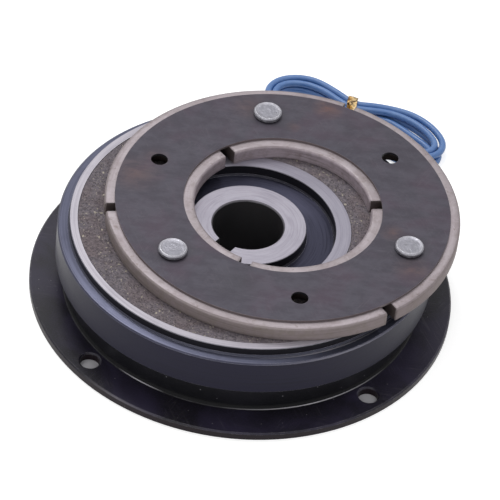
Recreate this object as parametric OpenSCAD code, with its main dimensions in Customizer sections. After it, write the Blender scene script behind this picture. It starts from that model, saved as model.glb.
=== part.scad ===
// Flange-mounted single-plate electromagnetic clutch brake unit.
// A keyed rotor with a friction face runs over a fixed field coil, and a loose
// armature assembly lies on the rotor face. Lengths are in millimetres.
// The origin is the centre of the mounting face, with +Z along the shaft axis.

/* [Mounting flange] */
// Outer diameter of the mounting flange
flange_d = 150; // [146:1:170]
// Thickness of the flange plate
flange_t = 3; // [2:0.5:5]
// Distance of the bolt holes' centres from the flange's rim
flange_hole_inset = 6.5; // [5:0.5:7]
// Diameter of the flange bolt holes
flange_hole_d = 7; // [5:0.5:8]
// Number of flange bolt holes
flange_hole_count = 4; // [3:1:8]
// Bore of the flange, which locates the yoke
flange_bore_d = 112; // [100:1:116]

/* [Field yoke] */
// Thickness of the yoke base above the flange
yoke_base_t = 3; // [2:0.5:5]
// Depth of the channel that holds the coil
channel_depth = 15.8; // [14:0.2:22]
// Thickness of the outer wall of the yoke
yoke_outer_wall = 5; // [4:0.2:7]
// Thickness of the inner wall of the yoke
yoke_inner_wall = 10.8; // [8:0.2:12]
// Size of the fillet ring where the yoke meets the flange
foot_fillet = 1; // [0.5:0.1:1.5]

/* [Coil] */
// Wall thickness of the coil bobbin
bobbin_wall = 1.2; // [0.8:0.1:2]
// Thickness of the tape round the winding
tape_t = 0.5; // [0.3:0.1:0.8]
// Height of the resin that seals the channel
resin_h = 1.3; // [0.8:0.1:2]
// Outer diameter of the splice sleeves
sleeve_d = 2.4; // [2:0.1:2.6]
// Length of a splice sleeve
sleeve_l = 14; // [12:1:16]
// Diameter of the soldered joint inside a sleeve
joint_d = 1.6; // [1.2:0.1:1.8]
// Length of the soldered joint
joint_l = 9; // [6:1:11]

/* [Rotor] */
// Outer diameter of the rotor cup
rotor_d = 133; // [133:0.5:134]
// Wall thickness of the rotor cup
cup_wall = 3.3; // [2.6:0.1:3.6]
// How far the cup reaches down beside the yoke
cup_reach = 8.3; // [6:0.1:10]
// Thickness of the rotor disc under the lining
disc_t = 5.6; // [4:0.1:8]
// Outer diameter of the outer pole ring
outer_pole_d = 124.8; // [124:0.2:126]
// Width of the outer pole ring
outer_pole_w = 2.8; // [2:0.1:5]
// Depth of the step outside the outer pole ring
pole_step = 3.3; // [2:0.1:5]
// Outer diameter of the inner pole ring
inner_pole_d = 72.6; // [70:0.2:76]
// Inner diameter of the inner pole ring
inner_pole_bore_d = 61.8; // [58:0.2:64]
// Depth of the recess between the inner pole ring and the hub
recess_depth = 4.1; // [2:0.1:5.5]
// Outer diameter of the hub
hub_d = 41; // [38:0.5:44]
// Height of the hub's lower end above the mounting face
hub_foot = 1.5; // [0.5:0.5:4]
// Shaft bore of the hub
bore_d = 25; // [18:0.5:28]
// Width of the keyway
key_w = 7; // [5:0.5:8]
// Depth of the keyway beyond the bore
key_depth = 3; // [2:0.1:3.5]
// Direction of the keyway about the axis
key_angle = -121; // [-180:1:180]
// Number of flux slots in the rotor disc
flux_slot_count = 6; // [4:1:8]
// Width of a flux slot
flux_slot_w = 4; // [3:0.5:6]
// Solid bridge between two flux slots, in degrees
flux_bridge = 14; // [10:1:20]

/* [Friction lining] */
// Thickness of the friction lining
lining_t = 2.9; // [2:0.1:4]
// Gap between the lining and the pole rings
lining_gap = 0.15; // [0.1:0.05:0.3]
// How far the lining lies below the pole faces
lining_set = 0.1; // [0.05:0.05:0.3]

/* [Running gaps] */
// Radial gap between the rotor cup and the yoke
cup_gap = 0.5; // [0.4:0.1:1]
// Radial gap between the hub and the yoke
hub_gap = 0.4; // [0.3:0.1:1]
// Axial gap between the yoke and the rotor disc
disc_gap = 0.7; // [0.5:0.1:1.5]

/* [Armature] */
// Outer diameter of the armature plate
armature_d = 125; // [122:0.5:126]
// Inner diameter of the armature plate
armature_bore_d = 62.2; // [60:0.2:66]
// Thickness of the armature plate
armature_t = 5.3; // [4:0.1:7]
// Width of the radial slots in the armature plate
slot_w = 4.2; // [2:0.2:5]
// Length of the outer slots
outer_slot_l = 10; // [6:0.5:12]
// Length of the inner slots
inner_slot_l = 10; // [6:0.5:12]
// Diameter of the clearance holes under the spring plate's holes
clearance_hole_d = 12; // [8:0.5:14]
// Sideways place of the loose armature on the rotor
armature_x = 11.3; // [0:0.1:14]
// Backward place of the loose armature on the rotor
armature_y = 6.1; // [-2:0.1:7]
// Turn of the loose armature on the rotor
armature_turn = 101.2; // [0:0.1:120]

/* [Spring plate and rivets] */
// Outer diameter of the spring plate
spring_d = 118; // [112:0.5:120]
// Inner diameter of the spring plate
spring_bore_d = 70; // [66:0.5:76]
// Thickness of the spring plate
spring_t = 0.9; // [0.5:0.1:1.5]
// Diameter of the circle through the rivets and the bolt holes
rivet_circle = 95.4; // [92:0.2:98]
// Diameter of the bolt holes in the spring plate
spring_hole_d = 6; // [4:0.5:7]
// Diameter of the rivet heads
rivet_head_d = 10; // [8:0.5:12]
// Height of the rivet heads
rivet_head_h = 2; // [1.4:0.1:3]
// Diameter of the rivet shanks
rivet_d = 5; // [4:0.5:6]
// Number of rivets
rivet_count = 3; // [3:1:3]

/* [Leads] */
// Diameter of the lead wires
wire_d = 2.5; // [2:0.1:2.6]
// Direction in which the leads leave the yoke
exit_angle = 73; // [60:1:80]
// Height of the leads above the floor of the coil channel
exit_rise = 2.6; // [2.5:0.1:2.8]
// Distance between the two leads in the grommet
wire_pitch = 3; // [2.8:0.1:3.2]
// Diameter of the grommet in the yoke wall
grommet_d = 7; // [6.6:0.1:7.2]
// Diameter of the grommet's collar
collar_d = 9; // [8.4:0.1:9.4]
// Thickness of the grommet's collar
collar_t = 1.2; // [0.8:0.1:1.6]

/* [Twist tie] */
// Width of the twist tie
tie_w = 3.6; // [3:0.2:6]
// Thickness of the twist tie
tie_t = 0.5; // [0.3:0.1:0.6]
// Length of the tie's twisted end
tie_tail = 5; // [4:0.5:10]

/* [Hidden] */

// Roundness of turned pieces and of small holes
turned = 180;
small = 48;
// Overlap of a cutting tool past a face
eps = 0.5;
// Small clearance of pieces that seat in each other
seat = 0.05;
// Chamfers of machined edges
edge = 0.5;
face_edge = 0.2;

// Circle through the bolt holes of the flange
flange_bolt_circle = flange_d - 2 * flange_hole_inset;

// Steps from a rivet to the next slot and to the next bolt hole
quarter_step = 90 / rivet_count;
half_step = 180 / rivet_count;

// Heights of the stack, from the mounting face up
channel_z = flange_t + yoke_base_t;
yoke_top = channel_z + channel_depth;
disc_z = yoke_top + disc_gap;
groove_z = disc_z + disc_t;
face_z = groove_z + lining_t + lining_set;
ledge_z = face_z - pole_step;
recess_z = face_z - recess_depth;
exit_z = channel_z + exit_rise;
cup_z = max(disc_z - cup_reach, exit_z + collar_d / 2 + cup_gap);
armature_z = face_z;
spring_z = armature_z + armature_t;
head_z = spring_z + spring_t;

// Radii from the axis out
bore_r = bore_d / 2;
hub_r = hub_d / 2;
yoke_bore_r = hub_r + hub_gap;
channel_in_r = yoke_bore_r + yoke_inner_wall;
cup_r = rotor_d / 2;
cup_in_r = cup_r - cup_wall;
yoke_r = cup_in_r - cup_gap;
channel_out_r = yoke_r - yoke_outer_wall;
spigot_r = flange_bore_d / 2 - seat;
groove_in_r = inner_pole_d / 2;
groove_out_r = outer_pole_d / 2 - outer_pole_w;
flux_slot_r = (groove_in_r + groove_out_r) / 2;

// Coil stack inside the channel
bobbin_in_r = channel_in_r + 2 * seat;
bobbin_out_r = channel_out_r - 2 * seat;
bobbin_z = channel_z + seat;
sleeve_apart = 0.3;
resin_z = yoke_top - resin_h;
bobbin_h = resin_z - bobbin_z;
winding_in_r = bobbin_in_r + bobbin_wall;
sleeve_r = bobbin_out_r - seat - sleeve_d / 2;
winding_out_r = sleeve_r - sleeve_d / 2 - seat - tape_t;
winding_z = bobbin_z + bobbin_wall;
winding_h = bobbin_h - 2 * bobbin_wall;

// Routes of the leads, seen from the axis along their exit. Each point gives how
// far it lies beyond the flange's rim, how far to the left, and its share of the
// height at the exit. Both bend to the left and run into the hank there.
LEFT_ROUTE = [[-7, 1.5, 1], [-3, 1.5, 0.95], [1, 1.5, 0.75], [5, 1.7, 0.48],
    [9, 2.7, 0.2], [12, 4.7, 0.05], [14.5, 8.3, 0], [15.5, 13, 0], [16.4, 17.5, 0]];
RIGHT_ROUTE = [[-7, -1.5, 1], [-3, -1.5, 0.95], [1, -1.5, 0.75], [5, -1.4, 0.48],
    [9, -0.6, 0.2], [13, 1.6, 0.05], [16, 4.8, 0], [18, 9.2, 0], [18.6, 12.5, 0]];
rim_r = flange_d / 2;
lead_low_z = wire_d / 2 + seat;
collar_face = yoke_r + collar_t;

// Hank of the leads on the ground behind the flange, seen the same way
hank_h = 6;
hank_left = [rim_r + 29.5, 18.5];
hank_left_r = 12.8;
hank_neck = [rim_r + 30.8, -2];
hank_neck_r = 5;
hank_right = [rim_r + 27.4, -28.2];
hank_right_r = 12.9;
tail_lean = 20;
tail_w = 1.6;

// Ring between two radii, standing at a height
module ring(outer_r, inner_r, z, h) {
    translate([0, 0, z])
    difference() {
        cylinder(h = h, r = outer_r, $fn = turned);
        translate([0, 0, -eps])
        cylinder(h = h + 2 * eps, r = inner_r, $fn = turned);
    }
}

// Round hole cut through a plate, with a chamfer at its top edge
module chamfered_hole(d, z, h, chamfer) {
    translate([0, 0, z - eps])
    cylinder(h = h + 2 * eps, d = d, $fn = small);
    translate([0, 0, z + h - chamfer])
    cylinder(h = chamfer + eps, r1 = d / 2, r2 = d / 2 + chamfer + eps, $fn = small);
}

// Children repeated round the axis, at a radius
module round_pattern(count, r, start) {
    for (i = [0 : count - 1])
        rotate([0, 0, start + i * 360 / count])
        translate([r, 0, 0])
        children();
}

// Children placed as the loose armature lies on the rotor
module on_rotor() {
    translate([armature_x, armature_y, 0])
    rotate([0, 0, armature_turn])
    children();
}

// Plate with four bolt holes, whose bore locates the yoke
module mounting_flange() {
    color([0.16, 0.16, 0.18])
    difference() {
        rotate_extrude($fn = turned)
        polygon([[flange_bore_d / 2, 0], [flange_d / 2 - face_edge, 0],
            [flange_d / 2, face_edge], [flange_d / 2, flange_t - edge],
            [flange_d / 2 - edge, flange_t], [flange_bore_d / 2, flange_t]]);
        round_pattern(flange_hole_count, flange_bolt_circle / 2, -45)
        chamfered_hole(flange_hole_d, 0, flange_t, edge);
    }
}

// Turned steel yoke with a channel for the coil and a hole for the leads
module field_yoke() {
    color([0.2, 0.2, 0.22])
    difference() {
        rotate_extrude($fn = turned)
        polygon([[yoke_bore_r, edge], [yoke_bore_r + edge, 0], [spigot_r, 0],
            [spigot_r, flange_t], [yoke_r + foot_fillet, flange_t],
            [yoke_r + foot_fillet * 0.3, flange_t + foot_fillet * 0.3],
            [yoke_r, flange_t + foot_fillet], [yoke_r, yoke_top - edge],
            [yoke_r - edge, yoke_top], [channel_out_r, yoke_top],
            [channel_out_r, channel_z], [channel_in_r, channel_z],
            [channel_in_r, yoke_top], [yoke_bore_r + edge, yoke_top],
            [yoke_bore_r, yoke_top - edge]]);
        rotate([0, 0, exit_angle])
        translate([channel_out_r - eps, 0, exit_z])
        rotate([0, 90, 0])
        cylinder(h = yoke_outer_wall + 2 * eps, d = grommet_d + 2 * seat, $fn = small);
    }
}

// Moulded bobbin with two cheeks, open outward
module coil_bobbin() {
    color([0.85, 0.82, 0.72])
    rotate_extrude($fn = turned)
    polygon([[bobbin_in_r, bobbin_z], [bobbin_out_r, bobbin_z],
        [bobbin_out_r, winding_z], [winding_in_r, winding_z],
        [winding_in_r, winding_z + winding_h], [bobbin_out_r, winding_z + winding_h],
        [bobbin_out_r, bobbin_z + bobbin_h], [bobbin_in_r, bobbin_z + bobbin_h]]);
}

// Copper winding on the bobbin
module coil_winding() {
    color([0.72, 0.4, 0.2])
    ring(winding_out_r, winding_in_r, winding_z, winding_h);
}

// Insulating tape round the winding
module coil_tape() {
    color([0.9, 0.85, 0.6])
    ring(winding_out_r + tape_t, winding_out_r, winding_z, winding_h);
}

// Children repeated for the left and the right lead, bent round the tape
module splice_pair(length) {
    sweep = length / sleeve_r * 180 / PI;
    margin = (sleeve_l - length) / 2 / sleeve_r * 180 / PI + sleeve_apart;
    for (start = [exit_angle - sweep - margin, exit_angle + margin])
        rotate([0, 0, start])
        rotate_extrude(angle = sweep, $fn = turned)
        translate([sleeve_r, exit_z])
        children();
}

// Sleeves over the two joints between winding and leads
module splice_sleeves() {
    color([0.75, 0.12, 0.1])
    splice_pair(sleeve_l)
    difference() {
        circle(d = sleeve_d, $fn = small);
        circle(d = joint_d + 2 * seat, $fn = small);
    }
}

// Soldered joints inside the sleeves
module splice_joints() {
    color([0.75, 0.75, 0.72])
    splice_pair(joint_l)
    circle(d = joint_d, $fn = small);
}

// Cast resin that seals the channel above the bobbin
module channel_resin() {
    color([0.1, 0.1, 0.11])
    ring(channel_out_r, channel_in_r, resin_z, resin_h - seat);
}

// Rubber bush with a collar and two holes for the leads
module lead_grommet() {
    color([0.06, 0.06, 0.06])
    rotate([0, 0, exit_angle])
    translate([0, 0, exit_z])
    rotate([0, 90, 0])
    difference() {
        union() {
            translate([0, 0, channel_out_r])
            cylinder(h = yoke_outer_wall + eps, d = grommet_d, $fn = small);
            // The flat back of the collar clears the round wall of the yoke
            translate([0, 0, yoke_r])
            cylinder(h = collar_t, d = collar_d, $fn = small);
        }
        for (side = [-1, 1])
            translate([0, side * wire_pitch / 2, channel_out_r - eps])
            cylinder(h = yoke_outer_wall + collar_t + 2 * eps, d = wire_d + 2 * seat,
                $fn = small);
    }
}

// Vector helpers for the sweep
function unit(v) = v / norm(v);
function ring_points(p, t, r, sides) =
    let(side = unit(cross([0, 0, 1], t)), up = cross(t, side))
    [for (k = [0 : sides - 1])
        p + r * cos(360 * (k + 0.5) / sides) * side + r * sin(360 * (k + 0.5) / sides) * up];

// Tube of a round wire along a route
module wire_tube(route, d) {
    sides = 8;
    last = len(route) - 1;
    tangents = [for (i = [0 : last])
        unit(route[min(i + 1, last)] - route[max(i - 1, 0)])];
    points = [for (i = [0 : last]) each ring_points(route[i], tangents[i], d / 2, sides)];
    walls = [for (i = [0 : last - 1], k = [0 : sides - 1])
        [i * sides + k, i * sides + (k + 1) % sides,
            (i + 1) * sides + (k + 1) % sides, (i + 1) * sides + k]];
    start_cap = [[for (k = [0 : sides - 1]) sides - 1 - k]];
    end_cap = [[for (k = [0 : sides - 1]) last * sides + k]];
    polyhedron(points = points, faces = concat(start_cap, walls, end_cap));
}

// One lead from its splice through the grommet to the hank
module lead_wire(side, route) {
    aside = side * wire_pitch / 2;
    straight = [[sleeve_r + sleeve_d / 2 + seat, aside, exit_z],
        [collar_face, aside, exit_z]];
    free = [for (p = route)
        [rim_r + p[0], p[1], lead_low_z + (exit_z - lead_low_z) * p[2]]];
    color([0.2, 0.42, 0.75])
    rotate([0, 0, exit_angle])
    wire_tube(concat(straight, free), wire_d);
}

module lead_wire_left() {
    lead_wire(1, LEFT_ROUTE);
}

module lead_wire_right() {
    lead_wire(-1, RIGHT_ROUTE);
}

// Outline of the hank seen from above, with a lobe on each side of the tie
module hank_outline() {
    hull() {
        translate(hank_left) circle(r = hank_left_r, $fn = 32);
        translate(hank_neck) circle(r = hank_neck_r, $fn = 32);
    }
    hull() {
        translate(hank_neck) circle(r = hank_neck_r, $fn = 32);
        translate(hank_right) circle(r = hank_right_r, $fn = 32);
    }
}

// Neck of the hank inside the tie, grown on every side
module neck_block(grow, width) {
    translate([hank_neck[0] - hank_neck_r - grow, hank_neck[1] - width / 2, tie_t - grow])
    cube([2 * (hank_neck_r + grow), width, hank_h - 2 * tie_t + 2 * grow]);
}

// Tied hank of both leads
module wire_hank() {
    color([0.2, 0.42, 0.75])
    rotate([0, 0, exit_angle]) {
        difference() {
            linear_extrude(height = hank_h)
            hank_outline();
            neck_block(hank_neck_r, tie_w);
        }
        neck_block(0, tie_w);
    }
}

// Twist tie round the neck, with its twisted end on top
module twist_tie() {
    color([0.85, 0.65, 0.15])
    rotate([0, 0, exit_angle]) {
        difference() {
            neck_block(tie_t, tie_w);
            neck_block(0, tie_w + 2 * eps);
        }
        // The lower corner of the twisted end stays within the tie's own thickness
        translate([hank_neck[0] - hank_neck_r / 2, hank_neck[1],
            hank_h - tie_t / 2 + tail_w / 2 * sin(tail_lean)])
        rotate([0, -tail_lean, 0])
        linear_extrude(height = tie_tail, twist = 540, slices = 24)
        square([tail_w, tie_t], center = true);
    }
}

// One-piece rotor: keyed hub, disc, pole rings and cup
module rotor() {
    color([0.35, 0.36, 0.4])
    difference() {
        rotate_extrude($fn = turned)
        polygon([[bore_r, hub_foot + edge], [bore_r + edge, hub_foot],
            [hub_r - 2 * edge, hub_foot], [hub_r, hub_foot + 2 * edge],
            [hub_r, disc_z - edge], [hub_r + edge, disc_z],
            [cup_in_r - edge, disc_z], [cup_in_r, disc_z - edge],
            [cup_in_r, cup_z + face_edge], [cup_in_r + face_edge, cup_z],
            [cup_r - edge, cup_z], [cup_r, cup_z + edge],
            [cup_r, ledge_z - edge], [cup_r - edge, ledge_z],
            [outer_pole_d / 2 + edge, ledge_z], [outer_pole_d / 2, ledge_z + edge],
            [outer_pole_d / 2, face_z - face_edge],
            [outer_pole_d / 2 - face_edge, face_z], [groove_out_r, face_z],
            [groove_out_r, groove_z], [groove_in_r, groove_z],
            [groove_in_r, face_z], [inner_pole_bore_d / 2 + face_edge, face_z],
            [inner_pole_bore_d / 2, face_z - face_edge],
            [inner_pole_bore_d / 2, recess_z + edge],
            [inner_pole_bore_d / 2 - edge, recess_z],
            [hub_r + edge, recess_z], [hub_r, recess_z + edge],
            [hub_r, face_z - face_edge], [hub_r - face_edge, face_z],
            [bore_r + edge, face_z], [bore_r, face_z - edge]]);
        // Keyway
        rotate([0, 0, key_angle])
        translate([0, -key_w / 2, hub_foot - eps])
        cube([bore_r + key_depth, key_w, face_z - hub_foot + 2 * eps]);
        // Flux slots, closed by the lining
        for (i = [0 : flux_slot_count - 1])
            rotate([0, 0, i * 360 / flux_slot_count])
            flux_slot();
    }
}

// Curved slot through the rotor disc that keeps the poles apart
module flux_slot() {
    translate([0, 0, disc_z - eps])
    rotate_extrude(angle = 360 / flux_slot_count - flux_bridge, $fn = turned)
    translate([flux_slot_r - flux_slot_w / 2, 0])
    square([flux_slot_w, disc_t + 2 * eps]);
}

// Moulded friction ring bonded in the groove between the poles
module friction_lining() {
    color([0.45, 0.42, 0.4])
    ring(groove_out_r - lining_gap, groove_in_r + lining_gap, groove_z, lining_t);
}

// Steel ring with rim slots, rivet holes and clearance holes
module armature_plate() {
    outer_r = armature_d / 2;
    inner_r = armature_bore_d / 2;
    color([0.72, 0.66, 0.66])
    on_rotor()
    difference() {
        translate([0, 0, armature_z])
        rotate_extrude($fn = turned)
        polygon([[inner_r + face_edge, 0], [outer_r - face_edge, 0],
            [outer_r, face_edge], [outer_r, armature_t - edge],
            [outer_r - edge, armature_t], [inner_r + edge, armature_t],
            [inner_r, armature_t - edge], [inner_r, face_edge]]);
        // Outer slots
        round_pattern(rivet_count, outer_r - outer_slot_l, -quarter_step)
        radial_slot(outer_slot_l + eps);
        // Inner slots
        round_pattern(rivet_count, inner_r + inner_slot_l, quarter_step)
        rotate([0, 0, 180])
        radial_slot(inner_slot_l + eps);
        // Rivet holes, countersunk below the friction face
        round_pattern(rivet_count, rivet_circle / 2, 0) {
            translate([0, 0, armature_z - eps])
            cylinder(h = armature_t + 2 * eps, d = rivet_d, $fn = small);
            translate([0, 0, armature_z - eps])
            cylinder(h = rivet_d / 2 + eps, r1 = rivet_d + eps, r2 = rivet_d / 2,
                $fn = small);
        }
        // Clearance holes
        round_pattern(rivet_count, rivet_circle / 2, half_step)
        translate([0, 0, armature_z - eps])
        cylinder(h = armature_t + 2 * eps, d = clearance_hole_d, $fn = small);
    }
}

// Slot through the armature plate, open outward and round at its foot
module radial_slot(length) {
    translate([0, 0, armature_z - eps]) {
        translate([0, -slot_w / 2, 0])
        cube([length, slot_w, armature_t + 2 * eps]);
        cylinder(h = armature_t + 2 * eps, d = slot_w, $fn = small);
    }
}

// Flat spring ring that carries the armature plate
module spring_plate() {
    color([0.33, 0.33, 0.37])
    on_rotor()
    difference() {
        ring(spring_d / 2, spring_bore_d / 2, spring_z, spring_t);
        round_pattern(rivet_count, rivet_circle / 2, 0)
        translate([0, 0, spring_z - eps])
        cylinder(h = spring_t + 2 * eps, d = rivet_d, $fn = small);
        round_pattern(rivet_count, rivet_circle / 2, half_step)
        translate([0, 0, spring_z - eps])
        cylinder(h = spring_t + 2 * eps, d = spring_hole_d, $fn = small);
    }
}

// Rivets with a dished head above and a countersunk head below
module armature_rivets() {
    head_r = rivet_head_d / 2;
    foot_gap = 0.4;
    color([0.82, 0.83, 0.86])
    on_rotor()
    round_pattern(rivet_count, rivet_circle / 2, 0)
    rotate_extrude($fn = small)
    polygon([[0, armature_z + foot_gap], [rivet_d - foot_gap, armature_z + foot_gap],
        [rivet_d / 2, armature_z + rivet_d / 2], [rivet_d / 2, head_z],
        [head_r - edge * 0.6, head_z], [head_r, head_z + edge],
        [head_r, head_z + rivet_head_h - edge], [head_r - edge, head_z + rivet_head_h],
        [head_r - 2.4 * edge, head_z + rivet_head_h - edge * 0.6],
        [0, head_z + rivet_head_h - edge * 0.6]]);
}

mounting_flange();
field_yoke();
coil_bobbin();
coil_winding();
coil_tape();
splice_sleeves();
splice_joints();
channel_resin();
lead_grommet();
lead_wire_left();
lead_wire_right();
wire_hank();
twist_tie();
rotor();
friction_lining();
armature_plate();
spring_plate();
armature_rivets();
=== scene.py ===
"""Clutch brake unit: black field body, bright rotor, riveted armature and a tied hank of blue leads."""
import logging
import math
from dataclasses import dataclass, field, replace
from enum import Enum
from typing import Any

import bpy
import numpy as np
from mathutils import Matrix, Vector


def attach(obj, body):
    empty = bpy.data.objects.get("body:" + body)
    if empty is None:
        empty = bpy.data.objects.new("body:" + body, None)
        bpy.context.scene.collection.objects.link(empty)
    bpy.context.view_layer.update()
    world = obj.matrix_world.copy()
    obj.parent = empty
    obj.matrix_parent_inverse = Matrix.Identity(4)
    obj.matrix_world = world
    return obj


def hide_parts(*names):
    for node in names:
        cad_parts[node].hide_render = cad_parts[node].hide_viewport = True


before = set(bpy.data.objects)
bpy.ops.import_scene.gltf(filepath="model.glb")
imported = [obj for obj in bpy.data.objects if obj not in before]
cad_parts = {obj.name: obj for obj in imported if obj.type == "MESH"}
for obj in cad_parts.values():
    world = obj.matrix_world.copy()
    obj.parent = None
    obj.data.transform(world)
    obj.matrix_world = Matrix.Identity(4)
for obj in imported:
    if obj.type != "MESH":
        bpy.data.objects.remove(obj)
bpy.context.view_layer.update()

LOG = logging.getLogger("clutch_brake")
MM = 0.001
Colour = tuple[float, float, float, float]
Pair = tuple[float, float]
Point = tuple[float, float, float]
Spots = tuple[tuple[float, float, float, float], ...]
Socket = bpy.types.NodeSocket
Sockets = tuple[Socket, ...]
AXIS: Point = (0.0, 0.0, 0.0)
LEVEL: Pair = (0.6, 0.9)  # upward parts of the normal between which a surface comes to count as level
ARMATURE_CENTRE: Point = (0.0113, 0.0061, 0.0)


def srgb(red: int, green: int, blue: int) -> Colour:
    """Linear colour of an 8-bit screen colour: ((c + 0.055) / 1.055) to the power 2.4 above the toe, c / 12.92 below.

    Args:
        red: Red from 0 to 255.
        green: Green from 0 to 255.
        blue: Blue from 0 to 255.

    Returns:
        The linear red, green, blue and an alpha of 1.
    """
    screen = np.array([red, green, blue]) / 255
    linear = np.where(screen > 0.04045, ((screen + 0.055) / 1.055) ** 2.4, screen / 12.92)
    return (*(float(c) for c in linear), 1.0)


# ---- Shader nodes ----


class NodeSheet:
    """Places nodes in one node tree and joins them."""

    def __init__(self, tree: bpy.types.NodeTree) -> None:
        """Keeps the tree that the nodes go into."""
        self.tree = tree

    def feed(self, socket: Socket, value: Any) -> None:
        """Links a socket to the input, or sets the input to a plain value.

        Args:
            socket: The input.
            value: A socket, or a plain value.
        """
        if isinstance(value, bpy.types.NodeSocket):
            self.tree.links.new(value, socket)
        else:
            socket.default_value = value

    def add(self, kind: str, inputs: dict[str | int, Any] | None = None, **settings: Any) -> bpy.types.Node:
        """Adds a shader node.

        Args:
            kind: The node's type name, without the ShaderNode that it starts with.
            inputs: Values or sockets for its inputs, by name or number.
            **settings: Values of the node's own properties.

        Returns:
            The new node.
        """
        node = self.tree.nodes.new("ShaderNode" + kind)
        for key, value in settings.items():
            setattr(node, key, value)
        for key, value in (inputs or {}).items():
            self.feed(node.inputs[key], value)
        return node

    def math(self, operation: str, a: Any, b: Any = 0.0, clamp: bool = False) -> Socket:
        """Adds a Math node on a and b and returns its result."""
        return self.add("Math", {0: a, 1: b}, operation=operation, use_clamp=clamp).outputs[0]

    def times(self, a: Any, b: Any, clamp: bool = False) -> Socket:
        """Multiplies a by b."""
        return self.math("MULTIPLY", a, b, clamp)

    def plus(self, a: Any, b: Any, clamp: bool = False) -> Socket:
        """Adds b to a."""
        return self.math("ADD", a, b, clamp)

    def less(self, a: Any, b: Any, clamp: bool = False) -> Socket:
        """Takes b from a."""
        return self.math("SUBTRACT", a, b, clamp)

    def most(self, a: Any, b: Any) -> Socket:
        """Takes the larger of a and b."""
        return self.math("MAXIMUM", a, b)

    def mixed(self, a: Any, share: float, b: Any, other: float) -> Socket:
        """Adds a times its share to b times the other share."""
        return self.plus(self.times(a, share), self.times(b, other))

    def vector(self, operation: str, a: Any, b: Any = AXIS) -> Socket:
        """Adds a Vector Math node and returns its vector, or its number for a length or dot product."""
        node = self.add("VectorMath", {0: a, 1: b}, operation=operation)
        return node.outputs["Value" if operation in ("LENGTH", "DOT_PRODUCT") else "Vector"]

    def parts(self, vector: Any) -> Sockets:
        """Splits a vector into its three numbers."""
        return tuple(self.add("SeparateXYZ", {0: vector}).outputs)

    def joined(self, *parts: Any) -> Socket:
        """Joins up to three numbers into a vector."""
        return self.add("CombineXYZ", dict(enumerate(parts))).outputs[0]

    def mapped(self, vector: Any, **inputs: Any) -> Socket:
        """Adds a Mapping node with the given Location, Rotation or Scale and returns its vector."""
        return self.add("Mapping", {"Vector": vector, **inputs}).outputs[0]

    def blend(self, share: Any, a: Any, b: Any) -> Socket:
        """Adds a colour Mix node from a to b and returns its colour."""
        return self.add("Mix", {0: share, 6: a, 7: b}, data_type="RGBA").outputs[2]

    def layers(self, base: Any, *coats: tuple) -> Any:
        """Lays colours over a base.

        Args:
            base: The colour underneath.
            *coats: For each coat its colour, its mask and, where the mask is weakened, the share kept of it.

        Returns:
            The colour on top.
        """
        for colour, mask, *share in coats:
            base = self.blend(self.times(mask, share[0]) if share else mask, base, colour)
        return base

    def between(self, value: Any, low: float, high: float, start: float = 0.0, end: float = 1.0) -> Socket:
        """Adds a smooth Map Range node, so that low gives start and high gives end."""
        inputs = {"Value": value, "From Min": low, "From Max": high, "To Min": start, "To Max": end}
        return self.add("MapRange", inputs, interpolation_type="SMOOTHSTEP").outputs[0]

    def noise(self, vector: Any, scale: Any, detail: float = 2.0, roughness: float = 0.5, bend: float = 0.0) -> Socket:
        """Adds a Noise Texture and returns its value, which lies about 0.5."""
        inputs = {"Vector": vector, "Scale": scale, "Detail": detail, "Roughness": roughness, "Distortion": bend}
        return self.add("TexNoise", inputs).outputs[0]

    def cells(self, vector: Any, scale: float) -> Sockets:
        """Adds a Voronoi Texture and returns three numbers that differ from cell to cell."""
        made = self.add("TexVoronoi", {"Vector": vector, "Scale": scale})
        return tuple(self.add("SeparateColor", {0: made.outputs["Color"]}).outputs)


class Effect(Enum):
    """The shader node groups that several finishes share."""

    GRAIN = "fine_grain"
    TURNED = "turned_marks"
    SCRATCHES = "scratches"
    EDGES = "edge_wear"
    SMUDGES = "smudges"
    RING = "ring_band"


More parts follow.
